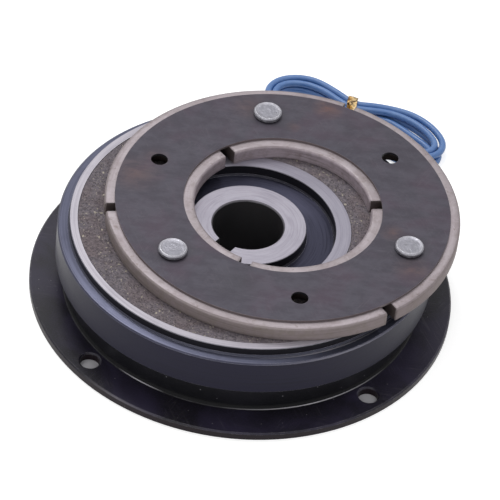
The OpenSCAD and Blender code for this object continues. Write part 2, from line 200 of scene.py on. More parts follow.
class EffectSheet(NodeSheet):
    """The sheet of one shared group. Each recipe reads the group's inputs and returns what it puts out, in order."""

    def __init__(self, effect: Effect, inputs: dict[str, float | None], outputs: tuple[str, ...]) -> None:
        """Makes the group and its sockets.

        Args:
            effect: Which group.
            inputs: Its inputs besides Vector, with their first values; None makes a vector.
            outputs: Its outputs, all plain numbers.
        """
        super().__init__(bpy.data.node_groups.new(effect.value, "ShaderNodeTree"))
        for key, value in {"Vector": None, **inputs}.items():
            kind = "NodeSocketVector" if value is None else "NodeSocketFloat"
            made = self.tree.interface.new_socket(name=key, in_out="INPUT", socket_type=kind)
            if value is not None:
                made.default_value = value
        for key in outputs:
            self.tree.interface.new_socket(name=key, in_out="OUTPUT", socket_type="NodeSocketFloat")
        self.given = self.tree.nodes.new("NodeGroupInput").outputs
        self.made = self.tree.nodes.new("NodeGroupOutput").inputs

    def scale(self) -> Socket:
        """The noise scale for the group's Size: one over it."""
        return self.math("DIVIDE", 1.0, self.given["Size"])

    def off_centre(self) -> Socket:
        """The way from the group's Centre to the point."""
        return self.vector("SUBTRACT", self.given["Vector"], self.given["Centre"])

    def fine_grain(self) -> Sockets:
        """Two sizes of noise, one three times as fine as the other: 0.65 of the coarse and 0.35 of the fine.

        Returns:
            The height.
        """
        place, scale = self.given["Vector"], self.scale()
        coarse, fine = self.noise(place, scale), self.noise(place, self.times(scale, 3.1))
        return (self.mixed(coarse, 0.65, fine, 0.35),)

    def turned_marks(self) -> Sockets:
        """Noise over (radius / pitch, slow angle, depth / pitch), so that it runs in rings round the centre.

        Returns:
            The height of the marks, and broader bands for sweeps of light.
        """
        slow, broad = 1.7, 0.12
        x, y, z = self.parts(self.off_centre())
        flat = self.joined(x, y)
        turn = self.parts(self.vector("NORMALIZE", flat))
        steps = self.math("DIVIDE", self.vector("LENGTH", flat), self.given["Pitch"])
        depth = self.math("DIVIDE", z, self.given["Pitch"])
        across = self.times(turn[0], slow)
        along = self.plus(self.times(turn[1], slow), depth)
        fine = self.noise(self.joined(steps, across, along), 1.0, 3.0, 0.6)
        return fine, self.noise(self.joined(self.times(steps, broad), across, along), 1.6)

    def scratches(self) -> Sockets:
        """Thin lines where a noise stretched 30 times one way passes 0.5, kept to patches of a broad noise.

        Returns:
            The mask of three sets of lines, each turned its own way.
        """
        scale, total = self.scale(), 0.0
        for turn in (0.5, 1.6, 2.7):
            turned = self.mapped(self.given["Vector"], Rotation=(0, 0, turn))
            value = self.noise(self.vector("MULTIPLY", turned, (1.0, 0.033, 0.2)), scale, 1.0)
            near = self.math("ABSOLUTE", self.less(value, 0.5))
            patch = self.noise(turned, self.times(scale, 0.09), 1.0)
            line = self.times(self.between(near, 0.0, 0.02, 1.0, 0.0), self.between(patch, 0.5, 0.62))
            total = self.most(line, total)
        return (total,)

    def edge_wear(self) -> Sockets:
        """How far the normal of a rounded edge leans from the face's own, times a noise that breaks the line.

        Returns:
            The mask.
        """
        rounded = self.add("Bevel", {"Radius": self.given["Radius"]}, samples=4).outputs[0]
        lean = self.vector("DOT_PRODUCT", rounded, self.add("NewGeometry").outputs["Normal"])
        gaps = self.between(self.noise(self.given["Vector"], 420.0, 3.0), 0.42, 0.6)
        return (self.times(self.between(lean, 0.97, 0.78), self.less(1.0, self.times(self.given["Breaks"], gaps))),)

    def smudges(self) -> Sockets:
        """Broad soft patches: noise of the given size, bent by itself, raised smoothly from 0.4 to 0.68."""
        return (self.between(self.noise(self.given["Vector"], self.scale(), 4.0, bend=0.9), 0.4, 0.68),)

    def ring_band(self) -> Sockets:
        """1 where the level distance from the centre lies from Inner to Outer, with a border as wide as Soft.

        Returns:
            The mask, the clamped depth in the band / Soft + 0.5.
        """
        radius = self.vector("LENGTH", self.vector("MULTIPLY", self.off_centre(), (1, 1, 0)))
        inside = self.less(radius, self.given["Inner"])
        outside = self.less(self.given["Outer"], radius)
        depth = self.math("DIVIDE", self.math("MINIMUM", inside, outside), self.given["Soft"])
        return (self.plus(depth, 0.5, clamp=True),)


@dataclass
class EffectShelf:
    """Builds each shared node group once and places it in materials."""

    groups: dict[Effect, bpy.types.NodeTree] = field(default_factory=dict)

    def place(self, sheet: NodeSheet, effect: Effect, **inputs: Any) -> bpy.types.Node:
        """Places a shared group in a material.

        Args:
            sheet: The material's node sheet.
            effect: Which group.
            **inputs: Values or sockets for the group's inputs, by name.

        Returns:
            The group's node.
        """
        if effect not in self.groups:
            self.groups[effect] = self.build(effect)
        return sheet.add("Group", inputs, node_tree=self.groups[effect])

    @staticmethod
    def build(effect: Effect) -> bpy.types.NodeTree:
        """Makes one shared group.

        Args:
            effect: Which group.

        Returns:
            The group's tree.
        """
        ring = {"Centre": None, "Inner": 0.0, "Outer": 0.1, "Soft": 0.0002}
        recipe, inputs, outputs = {
            Effect.GRAIN: (EffectSheet.fine_grain, {"Size": 0.001}, ("Height",)),
            Effect.TURNED: (EffectSheet.turned_marks, {"Centre": None, "Pitch": 0.0004}, ("Height", "PaintedSheen")),
            Effect.SCRATCHES: (EffectSheet.scratches, {"Size": 0.001}, ("Mask",)),
            Effect.EDGES: (EffectSheet.edge_wear, {"Radius": 0.0004, "Breaks": 0.5}, ("Mask",)),
            Effect.SMUDGES: (EffectSheet.smudges, {"Size": 0.02}, ("Mask",)),
            Effect.RING: (EffectSheet.ring_band, ring, ("Mask",)),
        }[effect]
        sheet = EffectSheet(effect, inputs, outputs)
        for key, result in zip(outputs, recipe(sheet)):
            sheet.feed(sheet.made[key], result)
        return sheet.tree


EFFECTS = EffectShelf()


class Canvas(NodeSheet):
    """The sheet of one material, with its Principled BSDF and the coordinates that its patterns read."""

    def __init__(self, material: bpy.types.Material) -> None:
        """Clears the material and sets out its shader, its output and its coordinates.

        Args:
            material: The material.
        """
        material.use_nodes = True
        material.node_tree.nodes.clear()
        super().__init__(material.node_tree)
        self.shader = self.add("BsdfPrincipled")
        self.add("OutputMaterial", {"Surface": self.shader.outputs[0]}, is_active_output=True)
        self.where = self.add("TexCoord").outputs
        self.place = self.where["Object"]

    def effect(self, effect: Effect, **inputs: Any) -> Socket:
        """Places a shared effect on object coordinates, or on a Vector of its own, and returns its first result."""
        return EFFECTS.place(self, effect, **{"Vector": self.place, **inputs}).outputs[0]

    def sized(self, **sizes: float) -> Sockets:
        """Places shared effects by their names in Effect, each with its Size in metres."""
        return tuple(self.effect(Effect[name], Size=size) for name, size in sizes.items())

    def edges(self, radius: float, breaks: float) -> Socket:
        """Places the edge wear for an edge radius in metres and the share of gaps in it."""
        return self.effect(Effect.EDGES, Radius=radius, Breaks=breaks)

    def ring(self, inner: float, outer: float, soft: float = 0.0002, centre: Point = AXIS) -> Socket:
        """Places the ring mask for an inner and outer radius about a centre, all in metres."""
        return self.effect(Effect.RING, Centre=centre, Inner=inner, Outer=outer, Soft=soft)

    def spots(self, spots: Spots) -> Any:
        """Adds up round spots, each fading from its middle.

        Args:
            spots: For each spot its x and y, its reach, all in metres, and its strength.

        Returns:
            A mask, the strongest spot where they overlap.
        """
        total: Any = 0.0
        for x, y, reach, strength in spots:
            total = self.most(self.times(self.ring(-1.0, reach / 2, reach, (x, y, 0.0)), strength), total)
        return total

    def upward(self) -> Socket:
        """The upward part of the surface's normal."""
        return self.parts(self.add("NewGeometry").outputs["Normal"])[2]

    def shade(self, **inputs: Any) -> None:
        """Feeds the shader; each input's name is written with _ for its spaces."""
        for name, value in inputs.items():
            self.feed(self.shader.inputs[name.replace("_", " ")], value)

    def relief(self, height: Socket, depth: float, edge: float = 0.0) -> None:
        """Feeds the shader's normal from a height.

        Args:
            height: Height from 0 to 1.
            depth: What a height of 1 stands for, in metres.
            edge: Radius by which sharp edges look rounded, in metres; 0 leaves them sharp.
        """
        inputs: dict[str | int, Any] = {"Height": height, "Distance": depth, "Strength": 1.0}
        if edge:
            inputs["Normal"] = self.add("Bevel", {"Radius": edge}, samples=4).outputs[0]
        self.shade(Normal=self.add("Bump", inputs).outputs[0])


# ---- Finishes ----


@dataclass(frozen=True)
class Finish:
    """A procedural finish; each kind fills in its own nodes."""

    name: str
    colour: Colour
    roughness: float

    def material(self) -> bpy.types.Material:
        """Makes the finish's material, once.

        Returns:
            The material, with a Principled BSDF that the kind's own nodes feed.
        """
        made = bpy.data.materials.get(self.name)
        if made is None or not made.get("dressed"):
            made = bpy.data.materials.new(self.name)
            made["dressed"] = True
            self.paint(Canvas(made))
        return made

    def paint(self, sheet: Canvas) -> None:
        """Feeds the shader; each kind of finish does this in its own way."""
        raise NotImplementedError

    def rough(self, sheet: Canvas, grain: Socket, swing: float = 0.1) -> Socket:
        """The roughness, less the swing where the grain is 0 and more by it where the grain is 1."""
        return sheet.plus(self.roughness - swing, sheet.times(grain, 2 * swing))


@dataclass(frozen=True)
class BlackCoat(Finish):
    """Black oxide or thin black coat on steel, with paler patches and rubbed edges."""

    patch: Colour
    # rubbed: worn metal on edges and dust specks, also the colour of the painted highlight lines on the rim and foot
    rubbed: Colour = srgb(150, 146, 150)
    upright: Colour = srgb(26, 16, 22)
    # fillet: painted shade on the fillet at a wall's foot
    fillet: Colour = srgb(8, 8, 11)
    specular: float = 0.25
    wear: float = 0.7
    browned: float = 0.0
    # rim and rim_line: radius and width of a painted highlight line along the flange's rim
    rim: float = 0.0
    rim_line: float = 0.0005
    # foot and foot_line: radius and width of a painted highlight line at the wall's foot
    foot: float = 0.0
    foot_line: float = 0.0003
    foot_heights: Pair = (0.0048, 0.0041)
    line_border: float = 0.0001
    # spots where the painted highlight lines on the rim and foot show brightest
    painted_glints: Spots = ()

    def paint(self, sheet: Canvas) -> None:
        """Coat colour, paler smudges, browned walls, rubbed metal along the edges, painted highlight lines on the rim
        and foot, painted shade on the foot's fillet.

        Args:
            sheet: The material's sheet.
        """
        smudge, fine, scratch = sheet.sized(SMUDGES=0.028, GRAIN=0.0006, SCRATCHES=0.0012)
        grain, edge = fine, sheet.edges(0.0004, 0.8)
        dust = sheet.add("TexVoronoi", {"Vector": sheet.place, "Scale": 240.0}).outputs["Distance"]
        level = sheet.math("ABSOLUTE", sheet.parts(sheet.where["Normal"])[2])
        flat = sheet.between(level, *LEVEL)
        wall = sheet.between(level, LEVEL[0], 0.2, 0.0, self.browned)
        # painted highlight line on the rim, shown at the glint spots
        if self.rim:
            line = sheet.times(sheet.ring(self.rim - self.rim_line, self.rim, self.line_border), flat)
            edge = sheet.most(edge, sheet.times(line, sheet.spots(self.painted_glints), clamp=True))
        marks = sheet.most(edge, sheet.times(scratch, sheet.between(flat, 0.0, 1.0, 0.015, 0.1)))
        tone = sheet.layers(
            self.colour,
            (self.patch, smudge, 0.6),
            (self.patch, sheet.between(grain, 0.48, 0.7, 0.0, 0.5)),
            (self.upright, wall),
            (self.rubbed, marks, self.wear),
            (self.rubbed, sheet.between(dust, 0.06, 0.03, 0.0, 0.45)),
        )
        if self.foot:
            # painted shade on the fillet at the foot and a painted highlight line along it
            low = sheet.between(sheet.parts(sheet.place)[2], *self.foot_heights)
            tone = self.footed(sheet, low, tone)
            marks = sheet.less(marks, low, clamp=True)
            grain = sheet.plus(grain, sheet.times(low, 1.8))
        rough = sheet.less(self.rough(sheet, grain), sheet.times(marks, 0.1))
        sheet.shade(Base_Color=tone, Roughness=rough, Metallic=sheet.times(marks, 0.5))
        sheet.shade(Specular_IOR_Level=self.specular)
        if self.browned:
            sheet.shade(Specular_IOR_Level=sheet.times(sheet.less(1.0, sheet.times(wall, 0.4)), self.specular))
        sheet.relief(fine, 0.00005, 0.0003)

    def footed(self, sheet: Canvas, low: Socket, tone: Socket) -> Socket:
        """Paints shade on the fillet at the foot of a turned wall and a thin painted highlight line along the foot,
        strongest at the glint spots.

        Args:
            sheet: The material's sheet.
            low: A mask of the fillet's height.
            tone: The colour so far.

        Returns:
            The colour with the foot on it.
        """
        line = sheet.times(sheet.ring(self.foot, self.foot + self.foot_line, self.line_border), low)
        painted_glint_line = sheet.times(line, sheet.most(sheet.spots(self.painted_glints), 0.04), clamp=True)
        return sheet.layers(tone, (self.fillet, low, 0.9), (self.rubbed, painted_glint_line))


@dataclass(frozen=True)
class TurnedSteel(Finish):
    """Steel with ring marks round a centre: bright ground faces, duller sides and recesses."""

    side: Colour
    stain: Colour
    bright: Colour
    stains: float
    pitch: float
    centre: Point = AXIS
    lowest: float = -1.0
    metal: float = 0.85

    def face(self, sheet: Canvas) -> Socket:
        """A mask of 1 on faces that look up and lie above the lowest ground height."""
        high = sheet.between(sheet.parts(sheet.place)[2], self.lowest, self.lowest + 0.0004)
        return sheet.times(sheet.between(sheet.upward(), *LEVEL), high)

    def marks(self, sheet: Canvas) -> Sockets:
        """The ring marks' height and their broader bands of painted sheen."""
        inputs = {"Vector": sheet.place, "Centre": self.centre, "Pitch": self.pitch}
        return tuple(EFFECTS.place(sheet, Effect.TURNED, **inputs).outputs)


@dataclass(frozen=True)
class GroundSteel(TurnedSteel):
    """The armature plate: mottled ground faces, a bore wall painted lighter, and painted shade in the slots."""

    edge: float = 0.0018
    bore: float = 0.0335
    # bore wall painted lighter than the side, for light that the concave bore lacks
    bore_wall_painted_light: Colour = srgb(162, 150, 157)
    mottled: Colour = srgb(122, 112, 112)
    slots: Pair = (0.0316, 0.0619)
    # painted shade on the walls of the slots and holes
    slot_painted_shade: Colour = srgb(62, 52, 50)
    groove: Colour = srgb(84, 76, 70)
    rust: Colour = srgb(98, 82, 74)

    def paint(self, sheet: Canvas) -> None:
        """Side colour with a painted-light bore wall and painted shade in the slots, then ring-marked faces with
        stains, scratches, painted sheen bands and bright edges.

        Args:
            sheet: The material's sheet.
        """
        face = self.face(sheet)
        rings, painted_sheen = self.marks(sheet)
        smudge, grain, scratch = sheet.sized(SMUDGES=0.016, GRAIN=0.0009, SCRATCHES=0.0008)
        top = sheet.layers(
            self.colour,
            (self.stain, smudge, self.stains),
            (self.mottled, sheet.between(sheet.noise(sheet.place, 340.0, 5.0, 0.65), 0.44, 0.64), 0.45),
            # painted sheen in broad bands along the ring marks
            (self.bright, sheet.between(painted_sheen, 0.42, 0.66, 0.0, 0.25)),
            (self.stain, sheet.between(rings, 0.45, 0.7, 0.0, 0.3)),
            (self.bright, scratch, 0.22),
        )
        tone = sheet.layers(
            self.side,
            # painted light on the bore wall
            (self.bore_wall_painted_light, sheet.ring(0.0, self.bore, centre=self.centre)),
            (self.stain, sheet.between(sheet.noise(sheet.place, 420.0, 4.0, 0.6), 0.4, 0.62, 0.0, 0.5)),
            (self.stain, smudge, 0.3),
            (self.groove, sheet.between(rings, 0.5, 0.72, 0.0, 0.5)),
            # painted shade in the slots and holes
            (self.slot_painted_shade, sheet.ring(*self.slots, centre=self.centre), 0.9),
            (top, face),
            (self.rust, sheet.between(sheet.noise(sheet.place, 430.0, 5.0, 0.65), 0.57, 0.74, 0.0, 0.5)),
            (self.bright, sheet.edges(0.00035, 0.5), 0.15),
        )
        dull = sheet.times(sheet.less(1.0, face), 0.2)
        metal = sheet.times(sheet.between(face, 0.0, 1.0, 0.55, 1.0), self.metal)
        sheet.shade(Base_Color=tone, Roughness=sheet.plus(self.rough(sheet, grain), dull), Metallic=metal)
        sheet.relief(sheet.mixed(rings, 0.6, grain, 0.4), 0.00002, self.edge)


@dataclass(frozen=True)
class RotorSteel(TurnedSteel):
    """Blackened rotor whose pole rings and hub are ground bright."""

    ledge: Colour = srgb(104, 106, 126)
    # painted shade on the ledge where its sheen fades
    ledge_painted_shade: Colour = srgb(36, 37, 46)
    floor: Colour = srgb(63, 63, 79)
    groove: Colour = srgb(20, 20, 28)
    outer: Colour = srgb(188, 184, 192)
    inner: Colour = srgb(160, 157, 169)
    bored: Colour = srgb(48, 47, 49)
    cup: Colour = srgb(29, 27, 46)
    hub_bore: float = 0.0160
    inner_ring: Pair = (0.0300, 0.0370)
    outer_ring: Pair = (0.0590, 0.0630)
    ledge_ring: Pair = (0.0613, 0.0668)
    cup_ring: Pair = (0.0655, 0.0700)
    # radii of painted highlight lines along the ledge's edges
    painted_glint_lines: tuple[Pair, Pair] = ((0.0632, 0.0637), (0.0661, 0.0666))
    # spot where the ledge gets its painted shade and painted highlight lines
    painted_light_spots: Spots = ((0.0373, -0.0532, 0.034, 1.3),)
    turned_sheen: float = 0.72
    ground_dullness: float = 0.24
    ground_way: float = 145.0

    def paint(self, sheet: Canvas) -> None:
        """Dark turned coat, bluish ledge and recess floors, ring-marked steel with painted sheen bands on the ground
        faces, painted shade and painted highlight lines on part of the ledge, bright edges.

        Args:
            sheet: The material's sheet.
        """
        face, flat = self.face(sheet), sheet.between(sheet.upward(), *LEVEL)
        rings, painted_sheen = self.marks(sheet)
        smudge, grain = sheet.sized(SMUDGES=0.02, GRAIN=0.0008)
        ledge = sheet.times(flat, sheet.ring(*self.ledge_ring))
        # painted shade and painted highlight lines on the ledge near the spot; the bright edges are edge wear with
        # painted highlight lines
        painted_light_spots = sheet.spots(self.painted_light_spots)
        lines = sheet.plus(*(sheet.ring(*radii) for radii in self.painted_glint_lines))
        edge = sheet.most(sheet.edges(0.0003, 0.5), sheet.times(sheet.times(lines, ledge), painted_light_spots, clamp=True))
        top = sheet.layers(
            self.colour,
            (self.outer, sheet.ring(*self.outer_ring)),
            (self.inner, sheet.ring(*self.inner_ring)),
            (self.stain, smudge, self.stains),
            # painted sheen in broad bands along the ring marks
            (self.bright, sheet.between(painted_sheen, 0.42, 0.66, 0.0, 0.12)),
            (self.stain, sheet.between(rings, 0.42, 0.68, 0.0, 0.4)),
        )
        tone = sheet.layers(
            self.side,
            (self.cup, sheet.ring(*self.cup_ring)),
            (self.floor, flat),
            (self.ledge, sheet.times(ledge, sheet.between(smudge, 0.0, 1.0, 1.0, 0.85))),
            # painted shade on the ledge
            (self.ledge_painted_shade, sheet.times(sheet.times(ledge, painted_light_spots), 0.55, clamp=True)),
            (self.groove, sheet.between(rings, 0.45, 0.7, 0.0, 0.38)),
            (self.bored, sheet.ring(-1.0, self.hub_bore)),
            (top, face),
            # bright edges: edge wear and painted highlight lines
            (self.bright, edge, 0.7),
        )
        rough = sheet.plus(self.rough(sheet, grain), sheet.times(face, self.ground_dullness))
        shine = sheet.most(sheet.most(face, edge), sheet.times(flat, 0.9))
        sheet.shade(Base_Color=tone, Roughness=rough, Metallic=sheet.times(shine, self.metal), Specular_IOR_Level=0.15)
        sheet.relief(sheet.mixed(rings, 0.85, grain, 0.15), 0.00002, 0.00015)
        self.turned(sheet, face)

    def turned(self, sheet: Canvas, face: Socket) -> None:
        """Stretches highlights across the tool's grooves.

        The tangent runs round the axis on turned surfaces and one way on ground faces; it is turned by a quarter.

        Args:
            sheet: The material's sheet.
            face: The mask of the ground faces.
        """
        x, y = sheet.parts(sheet.place)[:2]
        around = sheet.vector("NORMALIZE", sheet.joined(sheet.times(y, -1.0), x))
        ground = math.radians(self.ground_way)
        way = sheet.blend(face, around, sheet.joined(-math.sin(ground), math.cos(ground)))
        spaces = {"vector_type": "VECTOR", "convert_from": "OBJECT", "convert_to": "WORLD"}
        world = sheet.add("VectorTransform", {0: way}, **spaces).outputs[0]
        sheet.shade(Tangent=sheet.vector("NORMALIZE", world))
        sheet.shade(Anisotropic=self.turned_sheen, Anisotropic_Rotation=0.25)


@dataclass(frozen=True)
class FrictionCompound(Finish):
    """Pressed friction lining: a brown-grey binder full of pale fibres, metal flecks and dark pits."""

    grit: Colour = srgb(136, 128, 130)
    warm: Colour = srgb(108, 90, 88)
    fleck: Colour = srgb(178, 170, 154)
    pit: Colour = srgb(54, 48, 52)

    def paint(self, sheet: Canvas) -> None:
        """Binder, cells of random tone, stretched flecks and pits, each with its own height.

        Args:
            sheet: The material's sheet.
        """
        cell = sheet.cells(sheet.place, 2300.0)
        chip = sheet.cells(sheet.mapped(sheet.place, Rotation=(0, 0, 0.9), Scale=(1, 0.7, 1)), 1500.0)
        grain, smudge = sheet.sized(GRAIN=0.0009, SMUDGES=0.012)
        pits = sheet.between(cell[1], 0.8, 0.84)
        light = sheet.most(sheet.between(chip[0], 0.985, 0.99), sheet.between(cell[2], 0.98, 0.985))
        tone = sheet.layers(
            self.colour,
            (self.grit, sheet.between(cell[0], 0.1, 0.9, 0.0, 0.6)),
            (self.warm, smudge, 0.35),
            (self.pit, pits, 0.5),
            (self.fleck, light, 0.7),
            (self.pit, sheet.between(grain, 0.38, 0.6, 0.35, 0.0)),
        )
        rough = sheet.less(self.roughness, sheet.times(light, 0.35))
        sheet.shade(Base_Color=tone, Roughness=rough, Metallic=sheet.times(light, 0.4), Specular_IOR_Level=0.3)
        raised = sheet.times(sheet.less(light, pits), 0.6)
        sheet.relief(sheet.plus(grain, raised), 0.00009)


@dataclass(frozen=True)
class TemperedSpring(Finish):
    """Hardened spring plate: dark violet-grey scale with rusty and straw heat tints."""

    tint: Colour = srgb(112, 74, 58)
    violet: Colour = srgb(72, 56, 70)
    pale: Colour = srgb(79, 77, 87)
    # dark: colour of the painted shade on the hole walls and of the rings round the rivet feet
    dark: Colour = srgb(46, 44, 50)
    rubbed: Colour = srgb(150, 144, 148)
    wall: Colour = srgb(112, 102, 104)
    # radii of the hole walls that get painted shade
    shaded_hole_ring: Pair = (0.0442, 0.0512)
    stains: Spots = ()
    # dark spots: painted shadow with grime round the rivet feet, and one smear
    shadow_rings_and_smear: Spots = ()

    def paint(self, sheet: Canvas) -> None:
        """Scale colour, violet clouds, brushed mottling, heat and rust stains, dark rings round the rivet feet
        (painted shadow with grime) and a smear, painted shade on the hole walls, rubbed edges.

        Args:
            sheet: The material's sheet.
        """
        drawn = sheet.mapped(sheet.mapped(sheet.place, Location=(0.031, -0.017, 0)), Scale=(0.55, 1.0, 1.0))
        mottle = sheet.between(sheet.noise(drawn, 260.0, 6.0, 0.68), 0.36, 0.66)
        broad, grain, scratch = sheet.sized(SMUDGES=0.018, GRAIN=0.0007, SCRATCHES=0.001)
        marks = sheet.most(sheet.times(sheet.edges(0.0003, 0.6), 0.4), sheet.times(scratch, 0.05))
        # painted shade on the hole walls
        wall = sheet.layers(self.wall, (self.dark, sheet.ring(*self.shaded_hole_ring, centre=ARMATURE_CENTRE)))
        tone = sheet.layers(
            self.colour,
            (self.violet, broad, 0.5),
            (self.pale, mottle, 0.45),
            (self.tint, sheet.times(sheet.spots(self.stains), sheet.between(mottle, 0.0, 1.0, 0.35, 1.0))),
            # painted shadow with grime round the rivet feet, and a smear
            (self.dark, sheet.spots(self.shadow_rings_and_smear)),
            (self.pale, sheet.between(grain, 0.42, 0.72, 0.0, 0.2)),
            (wall, sheet.between(sheet.math("ABSOLUTE", sheet.upward()), 0.6, 0.3)),
            (self.rubbed, marks),
        )
        metal = sheet.plus(0.5, sheet.times(marks, 0.5), clamp=True)
        sheet.shade(Base_Color=tone, Roughness=self.rough(sheet, grain), Metallic=metal)
        sheet.relief(grain, 0.00003, 0.0003)


@dataclass(frozen=True)
class ZincPlate(Finish):
    """Bright zinc on the rivet heads: crossed scratches, small dents and dull smears."""

    dull: Colour = srgb(132, 132, 140)
    # painted shadow on the lowest part of each head, at its foot
    foot: Colour = srgb(58, 55, 58)
    foot_heights: Pair = (0.0378, 0.0373)
    dished: Colour = srgb(106, 104, 111)
    # painted highlight on the ring round each head's dish
    raised: Colour = srgb(196, 194, 201)
    scored: Colour = srgb(214, 215, 222)
    # edge wear with a painted highlight on each head's rim
    rubbed: Colour = srgb(216, 216, 221)
    heads: Spots = ()

    def paint(self, sheet: Canvas) -> None:
        """Plate colour with smears, painted highlights on the rim and edges of each head, scratches, painted shadow at
        the foot, a fine hammered grain and a shallow dish in each head.

        Args:
            sheet: The material's sheet.
        """
        smudge, grain, scratch = sheet.sized(SMUDGES=0.004, GRAIN=0.0006, SCRATCHES=0.0005)
        inward = sheet.spots(self.heads)
        dish = sheet.between(inward, 0.22, 0.46)
        low = sheet.between(sheet.parts(sheet.place)[2], *self.foot_heights)
        tone = sheet.layers(
            self.colour,
            (self.dull, smudge, 0.7),
            (self.dished, dish, 0.08),
            # painted highlight round the dish
            (self.raised, sheet.between(inward, 0.34, 0.2, 0.0, 0.25)),
            (self.scored, scratch, 0.5),
            # painted highlight with wear on the edges
            (self.rubbed, sheet.edges(0.0005, 0.2), 0.85),
            # painted shadow at the foot of each head
            (self.foot, low),
        )
        rough = sheet.plus(self.roughness, sheet.times(smudge, 0.15))
        sheet.shade(Base_Color=tone, Roughness=rough, Metallic=sheet.between(smudge, 0.0, 1.0, 0.95, 0.8))
        height = sheet.plus(grain, sheet.plus(scratch, smudge))
        sheet.relief(sheet.less(height, sheet.times(dish, 0.5)), 0.00009, 0.0006)


@dataclass(frozen=True)
class VinylSkin(Finish):
    """Extruded vinyl insulation, satin, with faint lengthways drag lines and a little dust."""

    pale: Colour = srgb(134, 160, 200)
    deep: Colour = srgb(30, 78, 150)

    def paint(self, sheet: Canvas) -> None:
        """Lengthways streaks read from the tube's own map, broad tone changes from its place.

        Args:
            sheet: The material's sheet.
        """
        streak = sheet.noise(sheet.mapped(sheet.where["UV"], Scale=(60.0, 14.0, 1.0)), 1.0, 3.0)
        grain, smudge = sheet.sized(GRAIN=0.0005, SMUDGES=0.009)
        tone = sheet.layers(
            self.colour, (self.deep, sheet.between(streak, 0.35, 0.7, 0.0, 0.35)), (self.pale, smudge, 0.2)
        )
        rough = sheet.plus(self.roughness, sheet.times(smudge, 0.15))
        sheet.shade(Base_Color=tone, Roughness=rough, Specular_IOR_Level=0.75)
        sheet.relief(sheet.mixed(streak, 0.6, grain, 0.4), 0.00004)


@dataclass(frozen=True)
class GoldFoil(Finish):
    """Metallised film of a twist tie, creased, with painted highlights and painted shade in its creases."""

    # painted shade in the creases
    crease_shade: Colour = srgb(62, 40, 12)
    # pale: colour of the painted highlights
    pale: Colour = srgb(250, 234, 190)

    def paint(self, sheet: Canvas) -> None:
        """Film colour with painted highlights and painted shade in the creases, with a wrinkled relief.

        Args:
            sheet: The material's sheet.
        """
        smudge, grain = sheet.sized(SMUDGES=0.0021, GRAIN=0.0009)
        shifted = sheet.mapped(sheet.place, Location=(0.0, 0.0, 0.013))
        # painted highlights in broad patches
        painted_highlight = sheet.effect(Effect.SMUDGES, Vector=shifted, Size=0.003)
        # painted highlights, then painted shade in the creases
        tone = sheet.layers(self.colour, (self.pale, painted_highlight, 0.5), (self.crease_shade, smudge, 0.95))
        rough = sheet.plus(self.roughness, sheet.times(smudge, 0.2))
        sheet.shade(Base_Color=tone, Roughness=rough, Metallic=sheet.between(smudge, 0.0, 1.0, 0.85, 0.6))
        sheet.relief(sheet.plus(grain, smudge), 0.00026)


@dataclass(frozen=True)
class PlainSkin(Finish):
    """Rubber, resin, nylon, tape and other plain inner finishes, with their own grain and shine."""

    second: Colour
    grain: float = 0.001
    depth: float = 0.00006
    specular: float = 0.4
    metal: float = 0.0

    def paint(self, sheet: Canvas) -> None:
        """Two close tones in patches over a fine grain.

        Args:
            sheet: The material's sheet.
        """
        grain, smudge = sheet.sized(GRAIN=self.grain, SMUDGES=0.008)
        tone = sheet.layers(self.colour, (self.second, smudge, 0.5))
        sheet.shade(Base_Color=tone, Roughness=self.rough(sheet, grain, 0.08))
        sheet.shade(Metallic=self.metal, Specular_IOR_Level=self.specular)
        sheet.relief(grain, self.depth)


# ---- Surfaces ----


def grid_mesh(name: str, points: np.ndarray, uv: tuple[np.ndarray, np.ndarray], capped: bool = True) -> bpy.types.Mesh:
    """Makes a closed mesh from a grid of rings.

    Each cell (i, j) becomes the quad (i, j), (i, j + 1), (i + 1, j + 1), (i + 1, j), and the last column
    joins the first. The first and last ring are capped by one face each, or the last ring joins the first.

    Args:
        name: The mesh's name.
        points: Array of shape (rings, columns, 3), in metres.
        uv: The map's two numbers, as a column for the rings and a row for the columns.
        capped: Whether the ends are capped; otherwise the rings close in a loop.

    Returns:
        The mesh, with its map.
    """
    rings, columns = points.shape[:2]
    i, j = np.meshgrid(np.arange(rings - 1 if capped else rings), np.arange(columns), indexing="ij")
    low, high, right = i * columns, ((i + 1) % rings) * columns, (j + 1) % columns
    faces = np.stack([low + j, low + right, high + right, high + j], -1).reshape(-1, 4).tolist()
    if capped:
        faces.append(list(range(columns))[::-1])
        faces.append(list(range((rings - 1) * columns, rings * columns)))
    mesh = bpy.data.meshes.new(name)
    mesh.from_pydata(points.reshape(-1, 3).tolist(), [], faces)
    layer = mesh.uv_layers.new(name="map")
    index = np.zeros(len(mesh.loops), int)
    mesh.loops.foreach_get("vertex_index", index)
    spread = np.stack(np.broadcast_arrays(*uv), -1).reshape(-1, 2)
    layer.data.foreach_set("uv", spread[index].astype(np.float32).ravel())
    mesh.polygons.foreach_set("use_smooth", np.ones(len(mesh.polygons), bool))
    mesh.validate()
    mesh.update()
    return mesh


def distance_along(points: np.ndarray) -> np.ndarray:
    """The distance from the first point to each point, summed over the straight steps between them."""
    return np.concatenate([[0.0], np.cumsum(np.linalg.norm(np.diff(points, axis=0), axis=1))])


